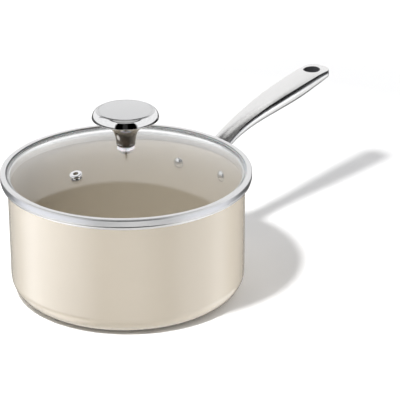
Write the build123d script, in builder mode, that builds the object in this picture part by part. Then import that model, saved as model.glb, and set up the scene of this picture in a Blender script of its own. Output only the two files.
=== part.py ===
from build123d import *
import math
import os

# Saucepan with a glass lid. Millimetres, +Z up, origin at the centre of the base's underside,
# long handle along +X. Two bodies: the pan with its riveted handle, and the lid that lifts off.

os.makedirs("parts", exist_ok=True)

# ---- driving dimensions -------------------------------------------------------------------
# pan
R_WALL = 97.3            # outside of the enamelled wall
T_WALL = 2.3             # wall, both skins included
SKIN = 0.35              # enamel outside, ceramic coating inside
CORNER = 15.0            # outside base corner
INNER_CORNER = 13.0      # inside base corner
FLOOR_Z = 4.8            # cooking surface
RIM_Z = 98.5             # top of the pouring rim
RIM_T = 2.7              # rim thickness
R_RIM = 102.45           # edge of the pouring rim
SKIN_TOP = 93.2          # both skins stop under the bare rim
R_PLATE = 70.0           # induction plate
PLATE_T = 0.9
R_PIERCING = 2.2
PIERCINGS = ((18, 8), (34, 16), (50, 24), (63, 32))     # ring radius and count
FLARE = 2.0              # curve that turns the wall out into the rim

# handle fixing
FLANGE_T = 3.0
FLANGE_W, FLANGE_H = 64.0, 21.0
RIVET_Z = 74.0
RIVET_ANGLE = 14.5       # each side of the handle's centre plane
R_SHANK = 3.0
R_RIVET_HEAD = 4.8
RIVET_DOME = 2.6         # head inside the pan
LOW_DOME = 1.7           # head on the flange
HEAD_OVERLAP = 0.14      # keeps a flat head seated on the curved wall

# handle
HANDLE_TIP = 263.5
TIP_CORNER = 7.0
PLATE_EDGE = 1.8         # side of the upper shell
SHELL_T = 1.3
R_HANG = 6.9             # open hole
R_SLEEVE = 7.7           # outside of its dark liner
HANG_X = 248.8
HANDLE_ROOT = 97.0
ROOT_EDGE_Z = 74.9       # side edge of the handle where it meets the wall
CLIMB = 31.8             # height gained by the steep neck
NECK_LENGTH = 38.5       # how quickly the neck levels out
END_SLOPE = 0.103        # what is left of the slope at the tip
HALF_WIDTH = 12.1        # at the grip
WAIST = 3.9              # narrowing of the neck, at WAIST_X
WAIST_X = 138.0
WAIST_LENGTH = 50.0
NECK_DEPTH = 10.6        # belly below the side edge at the neck
GRIP_DEPTH = 17.2        # and at its fullest
BELLY_START = 112.0      # the belly deepens from here
BELLY_RUN = 110.0        # over this length
BELLY_END = 215.0        # and turns up to the tip from here
STATIONS = 18
ROOM = 160.0             # taller than the whole piece, for upright cuts
CROWN = 0.13             # crown height as a share of the half width
DROOP_X = 240.0          # from here to the tip the top face rolls down
TIP_DROOP = 2.0
TIP_FLATTENING = 0.3     # share of the crown lost at the tip

# lid
R_BAND = 103.0
BAND_T = 0.6
BAND_TOP = RIM_Z + 5.5
R_LIP = 98.6             # inner edge of the band's top lip
R_SKIRT = 94.6           # outside of the locating skirt
SKIRT_Z = 93.5
SEAL_T = 0.35
GLASS_T = 3.6
DOME_TOP = 124.0
R_DOME = 97.0            # where the dome meets the flat brim
GLASS_GAP = 0.5          # between the edge of the glass and the band
R_GLASS_HOLE = 3.4       # for the knob's screw
SEAL_STEP = 0.6
VENT_X = -58.5
R_VENT = 3.3             # hole in the glass
R_VENT_HOLE = 2.1        # open bore of the eyelet
R_VENT_FLANGE = 5.1
VENT_FLANGE_T = 1.5
VENT_GASKET_T = 0.5
VENT_LIP_T = 0.9         # rolled lip under the glass

# knob
KNOB_RIM_Z = 148.2
R_KNOB = 27.25
KNOB_EDGE_Z = 155.7
R_KNOB_TOP = 22.8
R_DISC = 21.9
DISC_INLAY = 0.9         # depth of the disc's seat
DISC_RISE = 0.7          # crown of the disc above the shoulder's edge
DISC_CROWN = 0.75
DISC_GAP = 0.15
R_FOOT = 5.5             # flat under the stem
R_FLARE = 25.0           # rim of the dark body under the cap
FLARE_LIP = 0.4
FLARE_DROP = 0.6
# Side of the stem, as radius and height over the foot.
TRUMPET = ((7.9, 3.2), (8.3, 6.2), (9.2, 10.2), (10.8, 13.8), (15.5, 18.6))
CAP_DEPTH = 3.2          # depth of the cap's hollow
CAP_BULGE = ((0.6, 0.0), (0.1, 0.25), (0.0, 0.8), (1.3, 4.8))     # inset and height over the rim
R_INSERT = 3.6
INSERT_LENGTH = 15.0
UPPER_GASKET_T = 0.4
GASKET_T = 1.0
R_UPPER_GASKET = 5.8
R_LOWER_GASKET = 7.2
R_WASHER = 6.3
WASHER_T = 0.8
R_SCREW = 2.4
SCREW_SPARE = 2.0        # insert left empty past the screw's end
R_HEAD = 4.6
HEAD_T = 2.6
RECESS_L, RECESS_W, RECESS_DEPTH = 4.6, 0.9, 1.4

# ---- derived sizes --------------------------------------------------------------------------
R_IN = R_WALL - T_WALL
BAND_IN = R_BAND - BAND_T
SEAT_TOP = BAND_TOP - BAND_T
SEAT_BOTTOM = RIM_Z + BAND_T
BRIM_TOP = SEAT_TOP - SEAL_T
BRIM_BOTTOM = BRIM_TOP - GLASS_T
R_GLASS = BAND_IN - GLASS_GAP
DOME_RISE = DOME_TOP - BRIM_TOP
DOME_RADIUS = (R_DOME**2 + DOME_RISE**2) / (2 * DOME_RISE)
DOME_CENTRE = DOME_TOP - DOME_RADIUS


def dome_z(r, depth=0.0):
    """Height of the glass at radius r, on a sphere that lies depth under its top face."""
    return DOME_CENTRE + math.sqrt((DOME_RADIUS - depth) ** 2 - r**2)


def cap_points(tip, radius, rise):
    """Tip, middle and rim of a round cap on a sphere centred on the axis, along and off that axis."""
    sphere = (radius**2 + rise**2) / (2 * abs(rise))
    half = sphere - math.sqrt(sphere**2 - radius**2 / 4)
    return (tip, 0), (tip + math.copysign(half, rise), radius / 2), (tip + rise, radius)


# ---- pan: base, wall and pouring rim ----------------------------------------------------------
# Induction plate: a steel disc set flush in the base, pierced so that the aluminium grips it.
with BuildPart() as induction_plate:
    with BuildSketch(Plane.XY):
        Circle(R_PLATE)
        for ring_radius, count in PIERCINGS:
            with PolarLocations(ring_radius, count):
                Circle(R_PIERCING, mode=Mode.SUBTRACT)
    extrude(amount=PLATE_T)

# Enamel: the skin over the base corner and the outside of the wall.
corner_x = R_WALL - CORNER
with BuildPart() as exterior_enamel:
    with BuildSketch(Plane.XZ):
        with BuildLine():
            CenterArc((corner_x, CORNER), CORNER, 270, 90)
            Line((R_WALL, CORNER), (R_WALL, SKIN_TOP))
            Line((R_WALL, SKIN_TOP), (R_WALL - SKIN, SKIN_TOP))
            Line((R_WALL - SKIN, SKIN_TOP), (R_WALL - SKIN, CORNER))
            CenterArc((corner_x, CORNER), CORNER - SKIN, 0, -90)
            Line((corner_x, SKIN), (corner_x, 0))
        make_face()
    revolve(axis=Axis.Z)

# Ceramic coating: the skin over the cooking surface and the inside of the wall.
inner_x = R_IN - INNER_CORNER
inner_z = FLOOR_Z + INNER_CORNER
with BuildPart() as interior_coating:
    with BuildSketch(Plane.XZ):
        with BuildLine():
            Line((0, FLOOR_Z), (inner_x, FLOOR_Z))
            CenterArc((inner_x, inner_z), INNER_CORNER, 270, 90)
            Line((R_IN, inner_z), (R_IN, SKIN_TOP))
            Line((R_IN, SKIN_TOP), (R_IN + SKIN, SKIN_TOP))
            Line((R_IN + SKIN, SKIN_TOP), (R_IN + SKIN, inner_z))
            CenterArc((inner_x, inner_z), INNER_CORNER + SKIN, 0, -90)
            Line((inner_x, FLOOR_Z - SKIN), (0, FLOOR_Z - SKIN))
            Line((0, FLOOR_Z - SKIN), (0, FLOOR_Z))
        make_face()
    revolve(axis=Axis.Z)

# Pan body: forged aluminium between the skins, with the bare rim turned outwards.
rim_under = RIM_Z - RIM_T
nose = RIM_T / 2
flare_in = FLARE + T_WALL
with BuildPart() as pan_body:
    with BuildSketch(Plane.XZ):
        with BuildLine():
            Polyline((0, 0), (corner_x, 0), (corner_x, SKIN))
            CenterArc((corner_x, CORNER), CORNER - SKIN, 270, 90)
            Polyline(
                (R_WALL - SKIN, CORNER),
                (R_WALL - SKIN, SKIN_TOP),
                (R_WALL, SKIN_TOP),
                (R_WALL, rim_under - FLARE),
            )
            CenterArc((R_WALL + FLARE, rim_under - FLARE), FLARE, 180, -90)
            Line((R_WALL + FLARE, rim_under), (R_RIM - nose, rim_under))
            CenterArc((R_RIM - nose, rim_under + nose), nose, 270, 180)
            Line((R_RIM - nose, RIM_Z), (R_IN + flare_in, RIM_Z))
            CenterArc((R_IN + flare_in, RIM_Z - flare_in), flare_in, 90, 90)
            Polyline(
                (R_IN, RIM_Z - flare_in),
                (R_IN, SKIN_TOP),
                (R_IN + SKIN, SKIN_TOP),
                (R_IN + SKIN, inner_z),
            )
            CenterArc((inner_x, inner_z), INNER_CORNER + SKIN, 0, -90)
            Polyline((inner_x, FLOOR_Z - SKIN), (0, FLOOR_Z - SKIN), (0, 0))
        make_face()
    revolve(axis=Axis.Z)
    add(induction_plate.part, mode=Mode.SUBTRACT)


def rivet_plane(side):
    """Plane through a rivet's axis: local X runs radially outwards, local Y is up."""
    angle = math.radians(side * RIVET_ANGLE)
    c, s = math.cos(angle), math.sin(angle)
    return Plane(origin=(0, 0, RIVET_Z), x_dir=(c, s, 0), z_dir=(s, -c, 0))


# Rivets: shank through wall and flange, domed head inside the pan, low head outside.
head_in = R_IN - HEAD_OVERLAP
head_out = R_WALL + FLANGE_T
with BuildPart() as handle_rivets:
    for side in (1, -1):
        plane = rivet_plane(side)
        with BuildSketch(plane):
            with BuildLine():
                ThreePointArc(*cap_points(head_in - RIVET_DOME, R_RIVET_HEAD, RIVET_DOME))
                Polyline(
                    (head_in, R_RIVET_HEAD),
                    (head_in, R_SHANK),
                    (head_out, R_SHANK),
                    (head_out, R_RIVET_HEAD),
                )
                ThreePointArc(*cap_points(head_out + LOW_DOME, R_RIVET_HEAD, -LOW_DOME))
                Line((head_out + LOW_DOME, 0), (head_in - RIVET_DOME, 0))
            make_face()
        revolve(axis=Axis(plane.origin, plane.x_dir))

# Flange: the curved plate that the handle is welded to.
with BuildPart() as handle_flange:
    with BuildSketch(Plane.YZ.offset(R_WALL / 2)):
        with Locations((0, RIVET_Z)):
            SlotOverall(FLANGE_W, FLANGE_H)
    extrude(amount=R_WALL)
    with BuildSketch(Plane.XY):
        Circle(R_WALL + FLANGE_T)
        Circle(R_WALL, mode=Mode.SUBTRACT)
    extrude(amount=RIM_Z, mode=Mode.INTERSECT)

# The rivets' shanks pass through the flange, the wall and both skins.
with BuildPart() as rivet_holes:
    for side in (1, -1):
        plane = rivet_plane(side)
        with BuildSketch(Plane(origin=plane.origin, x_dir=(0, 0, 1), z_dir=plane.x_dir)):
            Circle(R_SHANK)
        extrude(amount=2 * R_WALL)


def drilled(part):
    """The part with the rivet holes cut through it."""
    return part - rivet_holes.part


# ---- handle: two welded shells and the dark liner of the hang hole -----------------------------
def tip_share(x):
    """0 along the handle, rising to 1 over its last stretch."""
    return max((x - DROOP_X) / (HANDLE_TIP - DROOP_X), 0) ** 2


def edge_z(x):
    """Height of the handle's side edge: a steep neck that levels out towards the tip."""
    run = x - HANDLE_ROOT
    height = ROOT_EDGE_Z + CLIMB * (1 - math.exp(-run / NECK_LENGTH)) + END_SLOPE * run
    return height - TIP_DROOP * tip_share(x)


def half_width(x):
    """Half width of the handle: a slim waist behind the root, then the wider grip."""
    return HALF_WIDTH - WAIST * math.exp(-(((x - WAIST_X) / WAIST_LENGTH) ** 2))


def belly(x):
    """Depth of the handle below its side edge: fullest at the grip, rounded up at the tip."""
    share = min(max((x - BELLY_START) / BELLY_RUN, 0), 1)
    depth = NECK_DEPTH + (GRIP_DEPTH - NECK_DEPTH) * share**2 * (3 - 2 * share)
    end = max((x - BELLY_END) / (HANDLE_TIP + 5 - BELLY_END), 0)
    return depth * (1 - end**2.5) ** 0.4


def section(x):
    """Upright plane across the handle at x with local Y up from the side edge, and its sizes."""
    plane = Plane(origin=(x, 0, edge_z(x)), x_dir=(0, 1, 0), z_dir=(1, 0, 0))
    crown = CROWN * half_width(x) * (1 - TIP_FLATTENING * tip_share(x))
    return plane, half_width(x), belly(x), crown


# The stations close up towards the tip, where the belly turns quickly.
handle_length = HANDLE_TIP + 0.6 - HANDLE_ROOT
shares = [i / (STATIONS - 1) for i in range(STATIONS)]
sections = [section(HANDLE_ROOT + handle_length * (1.45 * t - 0.45 * t**3)) for t in shares]

# Envelope seen from above: rounds the tip and seats the root on the flange.
envelope_length = HANDLE_TIP - 40
with BuildPart() as handle_envelope:
    with BuildSketch(Plane.XY):
        with Locations((HANDLE_TIP - envelope_length / 2, 0)):
            Rectangle(envelope_length, 2 * HALF_WIDTH)
        fillet(vertices().group_by(Axis.X)[-1], radius=TIP_CORNER)
        Circle(R_WALL + FLANGE_T, mode=Mode.SUBTRACT)
    extrude(amount=ROOM)

# Upright hole for the liner, near the tip.
with BuildPart() as sleeve_hole:
    with BuildSketch(Plane.XY):
        with Locations((HANG_X, 0)):
            Circle(R_SLEEVE)
    extrude(amount=ROOM)


with BuildPart() as handle_upper_shell:
    for plane, w, depth, crown in sections:
        with BuildSketch(plane):
            with BuildLine():
                ThreePointArc((-w, 0), (0, crown), (w, 0))
                Line((w, 0), (w, -PLATE_EDGE))
                ThreePointArc((w, -PLATE_EDGE), (0, crown - PLATE_EDGE), (-w, -PLATE_EDGE))
                Line((-w, -PLATE_EDGE), (-w, 0))
            make_face()
    loft()
    add(handle_envelope.part, mode=Mode.INTERSECT)
    add(sleeve_hole.part, mode=Mode.SUBTRACT)

with BuildPart() as handle_cavity:
    for plane, w, depth, _ in sections[1:-2]:
        with BuildSketch(plane):
            with BuildLine():
                EllipticalCenterArc(
                    (0, -PLATE_EDGE), w - SHELL_T, depth - PLATE_EDGE - SHELL_T, 180, arc_size=180
                )
                Polyline(
                    (w - SHELL_T, -PLATE_EDGE),
                    (w - SHELL_T, 2),
                    (SHELL_T - w, 2),
                    (SHELL_T - w, -PLATE_EDGE),
                )
            make_face()
    loft()

with BuildPart() as handle_lower_shell:
    for plane, w, depth, crown in sections:
        with BuildSketch(plane):
            with BuildLine():
                EllipticalCenterArc((0, -PLATE_EDGE), w, depth - PLATE_EDGE, 180, arc_size=180)
                ThreePointArc((w, -PLATE_EDGE), (0, crown - PLATE_EDGE), (-w, -PLATE_EDGE))
            make_face()
    loft()
    add(handle_envelope.part, mode=Mode.INTERSECT)
    add(handle_cavity.part, mode=Mode.SUBTRACT)
    add(sleeve_hole.part, mode=Mode.SUBTRACT)

with BuildPart() as handle_solid:
    for plane, w, depth, crown in sections:
        with BuildSketch(plane):
            with BuildLine():
                ThreePointArc((-w, 0), (0, crown), (w, 0))
                Line((w, 0), (w, -PLATE_EDGE))
                EllipticalCenterArc((0, -PLATE_EDGE), w, depth - PLATE_EDGE, 180, arc_size=180)
                Line((-w, -PLATE_EDGE), (-w, 0))
            make_face()
    loft()

with BuildPart() as hang_hole_sleeve:
    with BuildSketch(Plane.XY):
        with Locations((HANG_X, 0)):
            Circle(R_SLEEVE)
            Circle(R_HANG, mode=Mode.SUBTRACT)
    extrude(amount=ROOM)
    add(handle_solid.part, mode=Mode.INTERSECT)

# ---- lid: glass, steel band and seal -------------------------------------------------------------
# Vent plane: on the glass, opposite the handle, square to the dome.
vent_z = dome_z(abs(VENT_X))
vent_plane = Plane(
    origin=(VENT_X, 0, vent_z), x_dir=(0, 1, 0), z_dir=(VENT_X, 0, vent_z - DOME_CENTRE)
)

inner_edge = math.sqrt((DOME_RADIUS - GLASS_T) ** 2 - (BRIM_BOTTOM - DOME_CENTRE) ** 2)
with BuildPart() as lid_glass:
    with BuildSketch(Plane.XZ):
        with BuildLine():
            ThreePointArc(
                (R_GLASS_HOLE, dome_z(R_GLASS_HOLE)), (R_DOME / 2, dome_z(R_DOME / 2)), (R_DOME, BRIM_TOP)
            )
            Polyline(
                (R_DOME, BRIM_TOP), (R_GLASS, BRIM_TOP), (R_GLASS, BRIM_BOTTOM), (inner_edge, BRIM_BOTTOM)
            )
            ThreePointArc(
                (inner_edge, BRIM_BOTTOM),
                (R_DOME / 2, dome_z(R_DOME / 2, GLASS_T)),
                (R_GLASS_HOLE, dome_z(R_GLASS_HOLE, GLASS_T)),
            )
            Line((R_GLASS_HOLE, dome_z(R_GLASS_HOLE, GLASS_T)), (R_GLASS_HOLE, dome_z(R_GLASS_HOLE)))
        make_face()
    revolve(axis=Axis.Z)
    with BuildSketch(vent_plane.offset(-GLASS_T * 2)):
        Circle(R_VENT)
    extrude(amount=GLASS_T * 4, mode=Mode.SUBTRACT)

with BuildPart() as lid_rim_band:
    with BuildSketch(Plane.XZ) as band_section:
        with BuildLine():
            Polyline(
                (R_LIP, BAND_TOP),
                (R_BAND, BAND_TOP),
                (R_BAND, RIM_Z),
                (R_SKIRT, RIM_Z),
                (R_SKIRT, SKIRT_Z),
                (R_SKIRT - BAND_T, SKIRT_Z),
                (R_SKIRT - BAND_T, SEAT_BOTTOM),
                (BAND_IN, SEAT_BOTTOM),
                (BAND_IN, SEAT_TOP),
                (R_LIP, SEAT_TOP),
                close=True,
            )
        make_face()
        outer_corner = vertices().sort_by_distance((R_BAND, BAND_TOP))[0]
        fillet(outer_corner, radius=1.2)
        inner_corner = vertices().sort_by_distance((BAND_IN, SEAT_TOP))[0]
        fillet(inner_corner, radius=0.6)
        lower_corner = vertices().sort_by_distance((R_BAND, RIM_Z))[0]
        fillet(lower_corner, radius=0.5)
        skirt_corner = vertices().sort_by_distance((R_SKIRT - BAND_T, SEAT_BOTTOM))[0]
        fillet(skirt_corner, radius=1.0)
        skirt_inner = vertices().sort_by_distance((R_SKIRT, RIM_Z))[0]
        fillet(skirt_inner, radius=0.4)
    revolve(axis=Axis.Z)

# Seal: the rubber strip between the band and the edge of the glass.
seal_in = R_LIP + 0.3
seal_foot = R_LIP - 1.2
seal_out = BAND_IN - SEAL_STEP
with BuildPart() as rim_seal:
    with BuildSketch(Plane.XZ):
        with BuildLine():
            Polyline(
                (seal_in, SEAT_TOP),
                (seal_out, SEAT_TOP),
                (BAND_IN, SEAT_TOP - SEAL_STEP),
                (BAND_IN, SEAT_BOTTOM),
                (seal_foot, SEAT_BOTTOM),
                (seal_foot, BRIM_BOTTOM),
                (R_GLASS, BRIM_BOTTOM),
                (R_GLASS, BRIM_TOP),
                (seal_in, BRIM_TOP),
                close=True,
            )
        make_face()
    revolve(axis=Axis.Z)

# ---- lid: steam vent --------------------------------------------------------------------------------
with BuildPart() as vent_gasket:
    with BuildSketch(vent_plane):
        Circle(R_VENT_FLANGE - 0.3)
        Circle(R_VENT, mode=Mode.SUBTRACT)
    extrude(amount=VENT_GASKET_T)

with BuildPart() as vent_eyelet:
    with BuildSketch(vent_plane.offset(VENT_GASKET_T)):
        Circle(R_VENT_FLANGE)
    extrude(amount=VENT_FLANGE_T)
    top_edge = edges().filter_by(GeomType.CIRCLE).sort_by(Axis.Z)[-1]
    fillet(top_edge, radius=1.0)
    tube_length = GLASS_T + VENT_GASKET_T + 0.1
    with BuildSketch(vent_plane.offset(VENT_GASKET_T)):
        Circle(R_VENT)
    extrude(amount=-tube_length)
    with BuildSketch(vent_plane.offset(VENT_GASKET_T - tube_length)):
        Circle(R_VENT_FLANGE - 0.5)
    extrude(amount=-VENT_LIP_T)
    with BuildSketch(vent_plane.offset(10)):
        Circle(R_VENT_HOLE)
    extrude(amount=-20, mode=Mode.SUBTRACT)

# ---- lid: knob ----------------------------------------------------------------------------------------
# Knob body: dark moulded stem on a rounded foot, flaring out like a trumpet under the steel cap.
stem_foot = DOME_TOP + UPPER_GASKET_T
insert_top = stem_foot + INSERT_LENGTH
body_top = KNOB_RIM_Z + CAP_DEPTH
r_seam = R_FLARE + FLARE_LIP
trumpet = [(r, stem_foot + h) for r, h in TRUMPET]
with BuildPart() as knob_body:
    with BuildSketch(Plane.XZ):
        with BuildLine():
            Polyline(
                (0, body_top),
                (0, insert_top),
                (R_INSERT, insert_top),
                (R_INSERT, stem_foot),
                (R_FOOT, stem_foot),
            )
            TangentArc((R_FOOT, stem_foot), trumpet[0], tangent=(1, 0))
            Spline(*trumpet, (R_FLARE, KNOB_RIM_Z - FLARE_DROP))
            Polyline(
                (R_FLARE, KNOB_RIM_Z - FLARE_DROP), (r_seam, KNOB_RIM_Z), (R_FLARE, body_top), (0, body_top)
            )
        make_face()
    revolve(axis=Axis.Z)

# Knob cap: pressed steel shoulder that covers the rim of the body.
disc_low = KNOB_EDGE_Z - DISC_INLAY
lip_in, lip_turn, lip_out, shoulder = [(R_KNOB - inset, KNOB_RIM_Z + h) for inset, h in CAP_BULGE]
with BuildPart() as knob_cap:
    with BuildSketch(Plane.XZ):
        with BuildLine():
            Polyline((0, body_top), (R_FLARE, body_top), (r_seam, KNOB_RIM_Z), lip_in)
            ThreePointArc(lip_in, lip_turn, lip_out)
            ThreePointArc(lip_out, shoulder, (R_KNOB_TOP, KNOB_EDGE_Z))
            Polyline(
                (R_KNOB_TOP, KNOB_EDGE_Z),
                (R_DISC, KNOB_EDGE_Z),
                (R_DISC, disc_low),
                (0, disc_low),
                (0, body_top),
            )
        make_face()
    revolve(axis=Axis.Z)

# Top disc: satin steel inlay, slightly crowned.
disc_top = KNOB_EDGE_Z + DISC_RISE
r_inlay = R_DISC - DISC_GAP
with BuildPart() as knob_top_disc:
    with BuildSketch(Plane.XZ):
        with BuildLine():
            Polyline((0, disc_top), (0, disc_low), (r_inlay, disc_low), (r_inlay, disc_top - DISC_CROWN))
            ThreePointArc(*[(r, z) for z, r in cap_points(disc_top, r_inlay, -DISC_CROWN)])
        make_face()
    revolve(axis=Axis.Z)

# Threaded insert moulded into the stem.
with BuildPart() as knob_insert:
    with BuildSketch(Plane.XY.offset(stem_foot)):
        Circle(R_INSERT)
        Circle(R_SCREW, mode=Mode.SUBTRACT)
    extrude(amount=INSERT_LENGTH)

with BuildPart() as knob_upper_gasket:
    with BuildSketch(Plane.XY.offset(DOME_TOP)):
        Circle(R_UPPER_GASKET)
        Circle(R_SCREW, mode=Mode.SUBTRACT)
    extrude(amount=UPPER_GASKET_T)

gasket_low = dome_z(R_LOWER_GASKET, GLASS_T) - GASKET_T
washer_low = gasket_low - WASHER_T
with BuildPart() as knob_lower_gasket:
    with BuildSketch(Plane.XY.offset(gasket_low)):
        Circle(R_LOWER_GASKET)
        Circle(R_SCREW, mode=Mode.SUBTRACT)
    extrude(amount=GASKET_T)

with BuildPart() as knob_washer:
    with BuildSketch(Plane.XY.offset(washer_low)):
        Circle(R_WASHER)
        Circle(R_SCREW, mode=Mode.SUBTRACT)
    extrude(amount=WASHER_T)

# Screw: pan head with a cross recess, shank up into the insert.
with BuildPart() as knob_screw:
    with BuildSketch(Plane.XY.offset(washer_low - HEAD_T)):
        Circle(R_HEAD)
    extrude(amount=HEAD_T)
    head_edge = edges().filter_by(GeomType.CIRCLE).sort_by(Axis.Z)[0]
    fillet(head_edge, radius=1.2)
    with BuildSketch(Plane.XY.offset(washer_low)):
        Circle(R_SCREW)
    extrude(amount=insert_top - SCREW_SPARE - washer_low)
    with BuildSketch(Plane.XY.offset(washer_low - HEAD_T)):
        Rectangle(RECESS_L, RECESS_W)
        Rectangle(RECESS_W, RECESS_L)
    extrude(amount=RECESS_DEPTH, mode=Mode.SUBTRACT)

# ---- write each piece -------------------------------------------------------------------------------
pieces = {
    "pan_body": drilled(pan_body.part),
    "exterior_enamel": drilled(exterior_enamel.part),
    "interior_coating": drilled(interior_coating.part),
    "induction_plate": induction_plate.part,
    "handle_flange": drilled(handle_flange.part),
    "handle_rivets": handle_rivets.part,
    "handle_upper_shell": handle_upper_shell.part,
    "handle_lower_shell": handle_lower_shell.part,
    "hang_hole_sleeve": hang_hole_sleeve.part,
    "lid_glass": lid_glass.part,
    "lid_rim_band": lid_rim_band.part,
    "rim_seal": rim_seal.part,
    "vent_gasket": vent_gasket.part,
    "vent_eyelet": vent_eyelet.part,
    "knob_body": knob_body.part,
    "knob_cap": knob_cap.part,
    "knob_top_disc": knob_top_disc.part,
    "knob_insert": knob_insert.part,
    "knob_upper_gasket": knob_upper_gasket.part,
    "knob_lower_gasket": knob_lower_gasket.part,
    "knob_washer": knob_washer.part,
    "knob_screw": knob_screw.part,
}
for name, piece in pieces.items():
    piece.label = name
    export_step(piece, f"parts/{name}.step")
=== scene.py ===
import math

import bpy
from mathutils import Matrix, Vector


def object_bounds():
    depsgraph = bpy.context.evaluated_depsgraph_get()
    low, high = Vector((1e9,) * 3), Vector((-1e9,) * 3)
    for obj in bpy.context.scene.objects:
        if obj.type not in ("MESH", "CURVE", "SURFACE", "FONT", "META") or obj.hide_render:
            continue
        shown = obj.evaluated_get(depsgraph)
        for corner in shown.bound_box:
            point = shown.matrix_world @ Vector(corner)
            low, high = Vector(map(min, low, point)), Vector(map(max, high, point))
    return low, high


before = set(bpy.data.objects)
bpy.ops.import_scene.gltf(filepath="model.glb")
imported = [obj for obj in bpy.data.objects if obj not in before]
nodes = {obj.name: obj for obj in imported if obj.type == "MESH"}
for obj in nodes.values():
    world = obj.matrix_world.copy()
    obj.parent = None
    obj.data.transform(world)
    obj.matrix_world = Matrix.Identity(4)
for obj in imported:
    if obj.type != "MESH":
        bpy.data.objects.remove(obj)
cad_low, cad_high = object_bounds()

# Looks, light and camera for the saucepan with a glass lid. Lengths are in metres.
MM = 0.001
NOISE_LOW, NOISE_HIGH = 0.3, 0.7      # the part of a noise's range that holds nearly all of it
RING_SQUEEZE = 0.01                   # turned metal varies this much less round its axis than across it


# ---- node helpers --------------------------------------------------------------------------------
class Nodes:
    """Short ways to add and link shader nodes."""

    def __init__(self, tree):
        self.tree = tree
        tree.nodes.clear()

    def add(self, kind):
        return self.tree.nodes.new("ShaderNode" + kind)

    def link(self, a, b):
        self.tree.links.new(a, b)

    def feed(self, socket, value):
        """Links a socket to a socket, or sets it to a number or colour."""
        if isinstance(value, bpy.types.NodeSocket):
            self.link(value, socket)
        else:
            socket.default_value = value

    def math(self, op, a, b=0.0, clamp=False):
        n = self.add("Math")
        n.operation = op
        n.use_clamp = clamp
        self.feed(n.inputs[0], a)
        self.feed(n.inputs[1], b)
        return n.outputs[0]

    def dot(self, a, b):
        n = self.add("VectorMath")
        n.operation = "DOT_PRODUCT"
        self.feed(n.inputs[0], a)
        self.feed(n.inputs[1], b)
        return n.outputs["Value"]

    def step(self, value, edge, soft):
        """0 below an edge and 1 above it, with a soft change."""
        n = self.add("MapRange")
        n.interpolation_type = "SMOOTHSTEP"
        self.link(value, n.inputs["Value"])
        n.inputs["From Min"].default_value = edge - soft / 2
        n.inputs["From Max"].default_value = edge + soft / 2
        return n.outputs["Result"]

    def zone(self, value, low, high, soft):
        """1 between two edges and 0 outside them."""
        return self.math("SUBTRACT", self.step(value, low, soft), self.step(value, high, soft), clamp=True)

    def inverse(self, value):
        return self.math("SUBTRACT", 1.0, value)

    def product(self, *values):
        total = values[0]
        for v in values[1:]:
            total = self.math("MULTIPLY", total, v)
        return total

    def distance(self, x, y):
        """Distance from the Z axis."""
        return self.math("SQRT", self.math("ADD", self.math("MULTIPLY", x, x), self.math("MULTIPLY", y, y)))

    def ramp(self, value, stops):
        """Colours or greys at positions along a value."""
        n = self.add("ValToRGB")
        self.link(value, n.inputs["Fac"])
        elements = n.color_ramp.elements
        while len(elements) < len(stops):
            elements.new(0.5)
        for element, (place, colour) in zip(elements, stops):
            element.position = place
            grey = isinstance(colour, (int, float))
            element.color = (colour, colour, colour, 1) if grey else (*colour, 1)
        return n.outputs["Color"]


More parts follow.
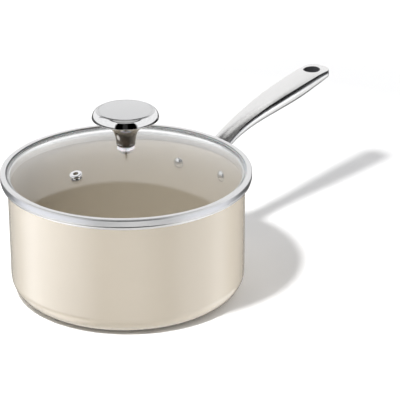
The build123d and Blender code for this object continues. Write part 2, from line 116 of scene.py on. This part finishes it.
class Mat(Nodes):
    """A material with one Principled shader, patterned in object coordinates."""

    def __init__(self, name, rough=0.5, metal=0.0, **sockets):
        self.mat = bpy.data.materials.new(name)
        self.mat.use_nodes = True
        super().__init__(self.mat.node_tree)
        self.out = self.add("OutputMaterial")
        self.bsdf = self.add("BsdfPrincipled")
        self.link(self.bsdf.outputs["BSDF"], self.out.inputs["Surface"])
        self.set("Roughness", rough)
        self.set("Metallic", metal)
        for key, value in sockets.items():
            self.set(key.replace("_", " "), value)
        self.coord = self.add("TexCoord").outputs["Object"]

    def set(self, socket, value):
        self.bsdf.inputs[socket].default_value = value

    def xyz(self):
        split = self.add("SeparateXYZ")
        self.link(self.coord, split.inputs[0])
        return split.outputs

    def stretch(self, scale):
        """Object coordinates, scaled differently along each axis."""
        n = self.add("Mapping")
        n.inputs["Scale"].default_value = scale
        self.link(self.coord, n.inputs["Vector"])
        return n.outputs["Vector"]

    def rings(self):
        """Coordinates (radius, angle, height) round the Z axis, with the angle squeezed, for turned metal."""
        x, y, z = self.xyz()
        angle = self.math("MULTIPLY", self.math("ARCTAN2", y, x), RING_SQUEEZE)
        join = self.add("CombineXYZ")
        for i, v in enumerate((self.distance(x, y), angle, z)):
            self.link(v, join.inputs[i])
        return join.outputs[0]

    def noise(self, scale, source=None, detail=4.0, rough=0.55):
        """Noise with a scale in cells per metre."""
        n = self.add("TexNoise")
        n.inputs["Scale"].default_value = scale
        n.inputs["Detail"].default_value = detail
        n.inputs["Roughness"].default_value = rough
        self.link(source or self.coord, n.inputs["Vector"])
        return n.outputs["Fac"]

    def mixed(self, a, b, share):
        """Two noises added, with a share of the first one."""
        return self.math("ADD", self.math("MULTIPLY", a, share), self.math("MULTIPLY", b, 1 - share))

    def colour(self, value, stops):
        self.link(self.ramp(value, stops), self.bsdf.inputs["Base Color"])

    def mottle(self, noise, dark, light):
        """Colour that drifts between two tones with a noise."""
        self.colour(noise, [(NOISE_LOW, dark), (NOISE_HIGH, light)])

    def roughness(self, noise, low, high):
        """Roughness that drifts between two values with a noise."""
        n = self.add("MapRange")
        self.link(noise, n.inputs["Value"])
        n.inputs["From Min"].default_value = NOISE_LOW
        n.inputs["From Max"].default_value = NOISE_HIGH
        n.inputs["To Min"].default_value = low
        n.inputs["To Max"].default_value = high
        self.link(n.outputs["Result"], self.bsdf.inputs["Roughness"])

    def bump(self, height, distance, strength, coat=False):
        n = self.add("Bump")
        n.inputs["Distance"].default_value = distance
        n.inputs["Strength"].default_value = strength
        self.link(height, n.inputs["Height"])
        self.link(n.outputs["Normal"], self.bsdf.inputs["Normal"])
        if coat:
            self.link(n.outputs["Normal"], self.bsdf.inputs["Coat Normal"])

    def blend(self, name, share, other):
        """Turns a linked socket's value into another one where share is 1."""
        socket = self.bsdf.inputs[name]
        old = socket.links[0].from_socket
        n = self.add("Mix")
        n.data_type = "RGBA" if name == "Base Color" else "FLOAT"
        ins = [i for i in n.inputs if i.enabled]
        self.link(share, ins[0])
        self.link(old, ins[1])
        ins[2].default_value = other
        self.link([o for o in n.outputs if o.enabled][0], socket)


def tint(colour, factor):
    return tuple(min(1.0, c * factor) for c in colour)


def grey(value):
    return (value, value, value)


# ---- materials -----------------------------------------------------------------------------------
# On every broad surface the roughness stays on one side of about 0.27, because the render's denoiser
# treats smoother and rougher surfaces differently, and would leave blotches where it crosses.
CREAM = (0.442, 0.387, 0.304)
INSIDE = (0.545, 0.487, 0.398)
STEEL = (0.760, 0.755, 0.745)
SATIN = 0.62                          # grey of the knob's satin top
CAP_SATIN_FROM = 0.1549               # height where the cap's satin top starts
CAP_SATIN_SOFT = 0.6 * MM
GLASS_SHADE = 0.79                    # share of lamp light that passes the lid's glass

# Glossy enamel: faint cloudiness in the colour and the slight orange peel of a sprayed coat.
enamel = Mat("cream_enamel", rough=0.23, Coat_Weight=0.7, Coat_Roughness=0.10, IOR=1.5)
enamel.mottle(enamel.noise(9, detail=3), tint(CREAM, 0.975), tint(CREAM, 1.02))
enamel.roughness(enamel.noise(60), 0.20, 0.26)
enamel.bump(enamel.noise(420, detail=2), 0.04 * MM, 0.6, coat=True)

# Ceramic coating inside: paler, with fine speckle and a soft gloss.
ceramic = Mat("ceramic_coating", rough=0.3, Coat_Weight=0.35, Coat_Roughness=0.12, IOR=1.5)
SPECKLE = [(0.3, tint(INSIDE, 0.95)), (0.62, tint(INSIDE, 1.0)), (0.75, tint(INSIDE, 1.06))]
ceramic.colour(ceramic.noise(1400, detail=2), SPECKLE)
ceramic.roughness(ceramic.noise(80), 0.29, 0.38)
ceramic.bump(ceramic.noise(900, detail=2), 0.03 * MM, 0.5, coat=True)

# Bare aluminium of the rim and base, turned on a lathe.
aluminium = Mat("pan_aluminium", rough=0.32, metal=1.0)
turned = aluminium.noise(1500, aluminium.rings(), detail=3)
aluminium.mottle(turned, (0.78, 0.78, 0.77), (0.90, 0.90, 0.89))
aluminium.roughness(turned, 0.29, 0.42)
aluminium.bump(turned, 0.03 * MM, 0.4)

# Ferritic steel plate in the base: concentric grinding and a trace of heat tint.
plate_steel = Mat("induction_steel", rough=0.36, metal=1.0)
ground = plate_steel.noise(2200, plate_steel.rings())
plate_steel.mottle(plate_steel.noise(14), (0.50, 0.49, 0.47), (0.60, 0.60, 0.61))
plate_steel.roughness(ground, 0.30, 0.48)
plate_steel.bump(ground, 0.04 * MM, 0.5)


def long_grain(name, colour, rough, scale, bump):
    """Steel polished along the handle: fine scratches that run along X, and smudges."""
    m = Mat(name, rough=rough, metal=1.0)
    grain = m.noise(scale, m.stretch((0.02, 1.0, 1.0)), detail=5)
    smudge = m.noise(26, detail=3)
    m.mottle(grain, tint(colour, 0.93), tint(colour, 1.04))
    m.roughness(m.mixed(grain, smudge, 0.65), rough * 0.8, rough * 1.25)
    m.bump(grain, bump, 0.5)
    return m


def spun(name, colour, rough, scale, bump, low=0.75):
    """Steel finished in a lathe: fine rings round the Z axis, and smudges."""
    m = Mat(name, rough=rough, metal=1.0)
    grain = m.noise(scale, m.rings())
    smudge = m.noise(30, detail=2)
    m.mottle(grain, tint(colour, 0.94), tint(colour, 1.04))
    m.roughness(m.mixed(grain, smudge, 0.7), rough * low, rough * 1.25)
    m.bump(grain, bump, 0.5)
    return m


def polished(name, colour, rough):
    """Small bright steel fittings, with faint handling marks."""
    m = Mat(name, rough=rough, metal=1.0)
    marks = m.noise(500, detail=5, rough=0.7)
    m.mottle(marks, tint(colour, 0.95), tint(colour, 1.03))
    m.roughness(marks, rough * 0.6, rough * 1.6)
    m.bump(m.noise(1200, detail=3), 0.01 * MM, 0.4)
    return m


def silicone(name, dark, light):
    m = Mat(name, rough=0.4, IOR=1.41, Subsurface_Weight=0.25, Subsurface_Scale=2 * MM)
    m.mottle(m.noise(160), dark, light)
    m.roughness(m.noise(900, detail=2), 0.34, 0.5)
    m.bump(m.noise(1800, detail=2), 0.02 * MM, 0.4)
    return m


handle_steel = long_grain("handle_steel", tint(STEEL, 1.04), 0.205, 1800, 0.03 * MM)
flange_steel = long_grain("flange_steel", tint(STEEL, 0.97), 0.205, 1500, 0.03 * MM)
band_steel = spun("band_steel", grey(0.77), 0.31, 1600, 0.04 * MM, low=0.93)
disc_steel = spun("knob_disc_steel", grey(SATIN), 0.21, 2400, 0.03 * MM)

# Knob cap: polished side under a satin top, which starts just inside the edge.
cap_steel = spun("knob_cap_steel", grey(0.80), 0.06, 900, 0.005 * MM)
cap_top = cap_steel.step(cap_steel.xyz()["Z"], CAP_SATIN_FROM, CAP_SATIN_SOFT)
cap_steel.blend("Base Color", cap_top, (*grey(SATIN), 1))
cap_steel.blend("Roughness", cap_top, 0.26)

rivet_steel = polished("rivet_steel", grey(0.72), 0.14)
fitting_steel = polished("fitting_steel", (0.78, 0.78, 0.79), 0.10)
insert_brass = polished("insert_brass", (0.78, 0.60, 0.30), 0.24)
rubber = silicone("clear_silicone", (0.52, 0.52, 0.53), (0.64, 0.64, 0.65))
gasket_rubber = silicone("knob_silicone", (0.60, 0.58, 0.63), (0.70, 0.68, 0.73))

# Liner of the hanging hole: dark grey moulding with a fine grain.
liner = Mat("hole_liner", rough=0.55, IOR=1.5)
liner.mottle(liner.noise(700, detail=3), (0.034, 0.034, 0.037), (0.052, 0.052, 0.056))
liner.roughness(liner.noise(500), 0.45, 0.65)
liner.bump(liner.noise(2500, detail=2), 0.02 * MM, 0.5)

# Knob stem: dark resin with a deep gloss.
resin = Mat("knob_resin", rough=0.10, Coat_Weight=1.0, Coat_Roughness=0.03, Coat_IOR=1.7, IOR=1.7)
resin.mottle(resin.noise(240), (0.020, 0.016, 0.013), (0.034, 0.028, 0.022))
resin.roughness(resin.noise(120), 0.09, 0.18)
resin.bump(resin.noise(700, detail=2), 0.01 * MM, 0.4, coat=True)

# Clear glass. Lamp rays pass straight through, a little dimmed, so that the pan's inside is lit.
glass = Mat("clear_glass", rough=0.0, IOR=1.5, Transmission_Weight=1.0)
glass.mottle(glass.noise(7), (0.955, 0.965, 0.958), (0.985, 0.990, 0.986))
glass_clear = glass.add("BsdfTransparent")
glass_clear.inputs["Color"].default_value = (*grey(GLASS_SHADE), 1)
glass_mix = glass.add("MixShader")
glass.link(glass.add("LightPath").outputs["Is Shadow Ray"], glass_mix.inputs["Fac"])
glass.link(glass.bsdf.outputs["BSDF"], glass_mix.inputs[1])
glass.link(glass_clear.outputs["BSDF"], glass_mix.inputs[2])
glass.link(glass_mix.outputs["Shader"], glass.out.inputs["Surface"])

LOOKS = {
    "pan_body": aluminium,
    "exterior_enamel": enamel,
    "interior_coating": ceramic,
    "induction_plate": plate_steel,
    "handle_flange": flange_steel,
    "handle_rivets": rivet_steel,
    "handle_upper_shell": handle_steel,
    "handle_lower_shell": handle_steel,
    "hang_hole_sleeve": liner,
    "lid_glass": glass,
    "lid_rim_band": band_steel,
    "rim_seal": rubber,
    "vent_gasket": rubber,
    "vent_eyelet": fitting_steel,
    "knob_body": resin,
    "knob_cap": cap_steel,
    "knob_top_disc": disc_steel,
    "knob_insert": insert_brass,
    "knob_upper_gasket": gasket_rubber,
    "knob_lower_gasket": gasket_rubber,
    "knob_washer": fitting_steel,
    "knob_screw": fitting_steel,
}
for name, look in LOOKS.items():
    node = nodes[name]
    if not node.material_slots:
        node.data.materials.append(look.mat)
    for slot in node.material_slots:
        slot.material = look.mat

wall = [nodes["exterior_enamel"]]
handle_shells = [nodes["handle_upper_shell"], nodes["handle_lower_shell"]]
stem = [nodes["knob_body"]]

# The lid's glass does not mirror its own knob, from its upper face or its lower one.
KNOB_PIECES = ("knob_body", "knob_cap", "knob_top_disc", "knob_insert", "knob_upper_gasket")
knob = [nodes[name] for name in KNOB_PIECES]
for piece in knob:
    piece.visible_glossy = False
    piece.visible_transmission = False


# ---- floor and card ------------------------------------------------------------------------------
FLOOR_HALF = 3.0
# Greys that the floor gives off, by distance as a share of FLOOR_HALF.
FLOOR_GLOW = [(0.18, 0.0), (0.30, 0.32), (0.60, 0.75)]
CARD_CORNERS = [(0.14, -0.08, 0.022), (0.37, -0.08, 0.050), (0.37, -0.08, 0.125), (0.14, -0.08, 0.10)]


def flat_piece(name, corners, look):
    """A flat four-sided piece of the studio."""
    mesh = bpy.data.meshes.new(name)
    mesh.from_pydata(corners, [], [(0, 1, 2, 3)])
    mesh.materials.append(look.mat)
    piece = bpy.data.objects.new(name, mesh)
    bpy.context.scene.collection.objects.link(piece)
    return piece


# The floor glows faintly far from the pan, where the key's light falls away, so that it stays white.
floor_look = Mat("floor_paper", rough=0.9, Emission_Strength=1.0)
floor_look.mottle(floor_look.noise(3), grey(0.925), grey(0.935))
floor_x, floor_y, _ = floor_look.xyz()
far = floor_look.math("MULTIPLY", floor_look.distance(floor_x, floor_y), 1 / FLOOR_HALF)
floor_look.link(floor_look.ramp(far, FLOOR_GLOW), floor_look.bsdf.inputs["Emission Color"])
sides = ((-1, -1), (1, -1), (1, 1), (-1, 1))
floor = flat_piece("floor", [(x * FLOOR_HALF, y * FLOOR_HALF, cad_low.z) for x, y in sides], floor_look)
floor.visible_glossy = False

# Black card beside the handle, seen only in reflections: it draws the dark line along the handle's side.
card_look = Mat("card_felt", rough=1.0, Specular_IOR_Level=0.0)
card_look.mottle(card_look.noise(40), grey(0.004), grey(0.006))
card = flat_piece("card", CARD_CORNERS, card_look)
card.visible_camera = False
card.visible_shadow = False
card.visible_diffuse = False
card.visible_transmission = False

# ---- studio sky ----------------------------------------------------------------------------------
# A sky of soft panels, in degrees round and above the pan. Azimuth 0 is towards the camera's place,
# positive to its right. A span is (from, to, softness), and an edge is (place, softness).
CAMERA_AZIMUTH = math.radians(-137)
TO_CAMERA = (math.cos(CAMERA_AZIMUTH), math.sin(CAMERA_AZIMUTH), 0)
TO_RIGHT = (-math.sin(CAMERA_AZIMUTH), math.cos(CAMERA_AZIMUTH), 0)
BACK_AZIMUTH = math.radians(36.3)
TO_BACK = (math.cos(BACK_AZIMUTH), math.sin(BACK_AZIMUTH), 0)
UP = (0, 0, 1)
DEGREES = 180 / math.pi
WHITE = (1, 1, 1)

PANEL = (1.06, 1.06, 1.07)            # front and back panels
HORIZON = (-5, 5)
FRONT_SPAN = (-125, 125, 12)
FRONT_TOP = (58, 4)
BACK_TOP = 1.24                       # top edge of the flat back panel, as rise over run
BACK_EDGE = (0, 0.06)
GAP_SPAN = (-36, 39, 7)               # dark gap towards the camera
GAP_HEIGHT = (-15, 54, 4)
CENTRE_SPAN = (-9, 7, 4)              # the least dark part of the gap
CENTRE_LIGHT = 0.03

OVERHEAD = 0.58
OVERHEAD_EDGE = (74, 4)
OVERHEAD_FRONT_EDGE = (64, 3)

# Light below the horizon, by azimuth, down to an edge that is lower at the back.
LOW_RING = [(-180, 0.1), (-166, 0.14), (-122, 0.10), (-108, 0.12), (-45, 0.12), (-32, 0.56), (-8, 0.92),
            (10, 1.12), (30, 0.78), (50, 0.45), (64, 0.12), (100, 0.10), (112, 0.04), (160, 0.10), (180, 0.1)]
LOW_EDGE, LOW_EDGE_SOFT = -36, 4
REAR_OUTSIDE, REAR_DROP = (-145, 145, 10), 14
RIGHT_REAR, RIGHT_REAR_LIFT = (90, 140, 10), 7
UNDER = 0.98                          # light from the floor's direction

STRIP = (1.52, 1.56, 1.68)            # cool strips, mirrored by the sides of upright walls
LEFT_STRIP = (-116, -36, 30), (-30, -18, 4)
RIGHT_STRIP = (50, 110, 28), (-40, -18, 4)
RIGHT_STRIP_SHARE = 0.68
STRIPE = (1.6, 1.5, 1.4)              # warm stripes, mirrored where a surface leans downwards
LEFT_STRIPE, RIGHT_STRIPE = (-112, -50, 16), (50, 106, 16)
RIGHT_STRIPE_SHARE = 0.4
STRIPE_HEIGHT = (-62, -42, 4)

world = bpy.data.worlds.new("studio")
bpy.context.scene.world = world
world.use_nodes = True
sky = Nodes(world.node_tree)
direction = sky.add("TexCoord").outputs["Generated"]
bearing = sky.math("ARCTAN2", sky.dot(direction, TO_RIGHT), sky.dot(direction, TO_CAMERA))
around = sky.math("MULTIPLY", bearing, DEGREES)
rise = sky.dot(direction, UP)
height = sky.math("MULTIPLY", sky.math("ARCSINE", rise), DEGREES)

above = sky.step(height, *HORIZON)
front = sky.product(sky.zone(around, *FRONT_SPAN), sky.inverse(sky.step(height, *FRONT_TOP)))
run = sky.math("MULTIPLY", sky.dot(direction, TO_BACK), BACK_TOP)
back = sky.inverse(sky.step(sky.math("SUBTRACT", rise, run), *BACK_EDGE))
gap = sky.product(sky.zone(around, *GAP_SPAN), sky.zone(height, *GAP_HEIGHT))
centre = sky.product(sky.zone(around, *CENTRE_SPAN), gap)
panels = sky.product(above, sky.math("MAXIMUM", front, back), sky.inverse(gap))

overhead_front = sky.product(sky.zone(around, *FRONT_SPAN), sky.step(height, *OVERHEAD_FRONT_EDGE))
overhead = sky.math("MAXIMUM", sky.step(height, *OVERHEAD_EDGE), overhead_front)

turn = sky.math("ADD", sky.math("MULTIPLY", around, 1 / 360), 0.5)
low_ring = sky.ramp(turn, [((a + 180) / 360, v) for a, v in LOW_RING])
rear = sky.inverse(sky.zone(around, *REAR_OUTSIDE))
low_edge = sky.math("SUBTRACT", LOW_EDGE, sky.math("MULTIPLY", rear, REAR_DROP))
lift = sky.math("MULTIPLY", sky.zone(around, *RIGHT_REAR), RIGHT_REAR_LIFT)
low_edge = sky.math("ADD", low_edge, lift)
low_part = sky.step(sky.math("SUBTRACT", height, low_edge), 0, LOW_EDGE_SOFT)
low = sky.product(low_part, sky.inverse(above), sky.inverse(gap))
under = sky.inverse(low_part)

left_strip, right_strip = (sky.product(sky.zone(around, *span), sky.zone(height, *heights))
                           for span, heights in (LEFT_STRIP, RIGHT_STRIP))
strip = sky.math("ADD", left_strip, sky.math("MULTIPLY", right_strip, RIGHT_STRIP_SHARE), clamp=True)
right_stripe = sky.math("MULTIPLY", sky.zone(around, *RIGHT_STRIPE), RIGHT_STRIPE_SHARE)
stripe = sky.math("ADD", sky.zone(around, *LEFT_STRIPE), right_stripe, clamp=True)
stripe = sky.product(stripe, sky.zone(height, *STRIPE_HEIGHT))


def shining(amount, colour):
    n = sky.add("Background")
    sky.feed(n.inputs["Color"], colour if isinstance(colour, bpy.types.NodeSocket) else (*colour, 1))
    sky.feed(n.inputs["Strength"], amount)
    return n.outputs[0]


studio = shining(panels, PANEL)
top_light = sky.math("ADD", sky.product(overhead, OVERHEAD), sky.product(centre, CENTRE_LIGHT))
for part in (shining(top_light, WHITE), shining(low, low_ring), shining(sky.product(under, UNDER), WHITE),
             shining(strip, STRIP), shining(stripe, STRIPE)):
    total = sky.add("AddShader")
    sky.link(studio, total.inputs[0])
    sky.link(part, total.inputs[1])
    studio = total.outputs[0]

# Behind the object the picture is plain white.
pick = sky.add("MixShader")
sky.link(sky.add("LightPath").outputs["Is Camera Ray"], pick.inputs["Fac"])
sky.link(studio, pick.inputs[1])
sky.link(shining(1.0, WHITE), pick.inputs[2])
sky.link(pick.outputs[0], sky.add("OutputWorld").inputs["Surface"])

# ---- lamps ---------------------------------------------------------------------------------------
PAN_MIDDLE = (0, 0, 0.05)
KEY_PLACE = (-0.480, -0.046, 0.92)
KEY_SIZE = 0.12
KEY_POWER = 12.6
WALL_KEY_POWER, WALL_KEY_TINT = 10.2, (0.97, 1.0, 1.10)

# Soft lamps round the pan for its wall: name, azimuth, power, colour.
SIDE_LAMPS = (
    ("right_side", 108, 16.0, (0.95, 1.0, 1.12)),
    ("right_front", 66, 3.6, (0.95, 1.0, 1.12)),
    ("left_side", -106, 18.0, (0.90, 1.0, 1.20)),
)
SIDE_ELEVATION, SIDE_DISTANCE, SIDE_SIZE = 14, 1.3, 0.5

HANDLE_MIDDLE = (0.16, 0, 0.1)
HIGH_AZIMUTH, HIGH_ELEVATION, HIGH_DISTANCE = -168, 57, 1.5
HIGH_WIDTH, HIGH_DEPTH, HIGH_POWER = 0.75, 0.315, 0.74

# Screens beside the stem: name, distance towards the camera, distance to its right, width, power.
STEM_SCREENS = (
    ("stem_left", 0.0057, -0.0145, 0.016, 0.0020),
    ("stem_right", 0.0096, 0.0142, 0.011, 0.0005),
)
STEM_SCREEN_Z, STEM_AIM = 0.1335, (0, 0, 0.1325)
STEM_SCREEN_HEIGHT = 0.018
STEM_TINT = (1, 0.98, 0.95)


def piece_group(name, pieces, state="INCLUDE"):
    """A collection of pieces for light linking, which a lamp lights or leaves out."""
    group = bpy.data.collections.new(name)
    for piece in pieces:
        group.objects.link(piece)
    for entry in group.collection_objects:
        entry.light_linking.link_state = state
    return group


def area_light(name, place, aim, size, power, colour=WHITE, only=None, but=None, reflected=False,
               size_y=None):
    """A round lamp, or a rectangular one when size_y is given, out of reflections unless reflected is set.

    It may light only some pieces, unshaded by the others, or all but some.
    """
    data = bpy.data.lights.new(name, "AREA")
    data.shape = "RECTANGLE" if size_y else "DISK"
    data.size = size
    if size_y:
        data.size_y = size_y
    data.energy = power
    data.color = colour
    lamp = bpy.data.objects.new(name, data)
    lamp.location = place
    lamp.rotation_euler = (Vector(aim) - Vector(place)).to_track_quat("-Z", "Y").to_euler()
    lamp.visible_glossy = reflected
    lamp.visible_camera = False
    lamp.visible_transmission = False
    bpy.context.scene.collection.objects.link(lamp)
    if only:
        lamp.light_linking.receiver_collection = piece_group(name + "_lights", only)
        lamp.light_linking.blocker_collection = piece_group(name + "_shades", only)
    if but:
        lamp.light_linking.receiver_collection = piece_group(name + "_leaves", but, "EXCLUDE")
    return lamp


def placed(azimuth, elevation, distance, centre=(0, 0, 0)):
    """A place round a centre, with azimuth counted from the camera, in degrees."""
    a, e = CAMERA_AZIMUTH + math.radians(azimuth), math.radians(elevation)
    away = (math.cos(e) * math.cos(a), math.cos(e) * math.sin(a), math.sin(e))
    return tuple(c + distance * d for c, d in zip(centre, away))


# The key leaves out the enamel wall, where the band's edge would throw a slanting shadow, and passes the
# knob, whose shadow would fall on the pan's floor. The wall has a key of its own.
key = area_light("key", KEY_PLACE, PAN_MIDDLE, KEY_SIZE, KEY_POWER, but=wall)
key.light_linking.blocker_collection = piece_group("key_passes", knob, "EXCLUDE")
area_light("key_on_wall", KEY_PLACE, PAN_MIDDLE, KEY_SIZE, WALL_KEY_POWER, WALL_KEY_TINT, only=wall)

for name, azimuth, power, colour in SIDE_LAMPS:
    place = placed(azimuth, SIDE_ELEVATION, SIDE_DISTANCE)
    area_light(name, place, PAN_MIDDLE, SIDE_SIZE, power, colour, only=wall)

# A panel high behind, for the handle alone: its crowned top looks over the back panel there.
place = placed(HIGH_AZIMUTH, HIGH_ELEVATION, HIGH_DISTANCE, HANDLE_MIDDLE)
area_light("high_panel", place, HANDLE_MIDDLE, HIGH_WIDTH, HIGH_POWER, only=handle_shells, reflected=True,
           size_y=HIGH_DEPTH)

# Two small screens beside the stem, for the stem alone: it would mirror the room's windows there.
for name, toward, right, width, power in STEM_SCREENS:
    x, y = (toward * c + right * r for c, r in zip(TO_CAMERA[:2], TO_RIGHT[:2]))
    area_light(name, (x, y, STEM_SCREEN_Z), STEM_AIM, width, power, STEM_TINT, only=stem, reflected=True,
               size_y=STEM_SCREEN_HEIGHT)

# ---- camera --------------------------------------------------------------------------------------
CAMERA_PLACE = (-1.0104, -0.9422, 0.6823)
CAMERA_HEADING = 40.5                 # degrees from +X
CAMERA_PITCH = 23.7158                # degrees down
CAMERA_SENSOR = 36.0
CAMERA_LENS = 164.635

camera_data = bpy.data.cameras.new("camera")
camera_data.sensor_width = CAMERA_SENSOR
camera_data.lens = CAMERA_LENS
camera = bpy.data.objects.new("camera", camera_data)
camera.location = CAMERA_PLACE
camera.rotation_euler = (math.radians(90 - CAMERA_PITCH), 0, math.radians(CAMERA_HEADING - 90))
bpy.context.scene.collection.objects.link(camera)
bpy.context.scene.camera = camera
bpy.context.scene.view_settings.view_transform = "Standard"
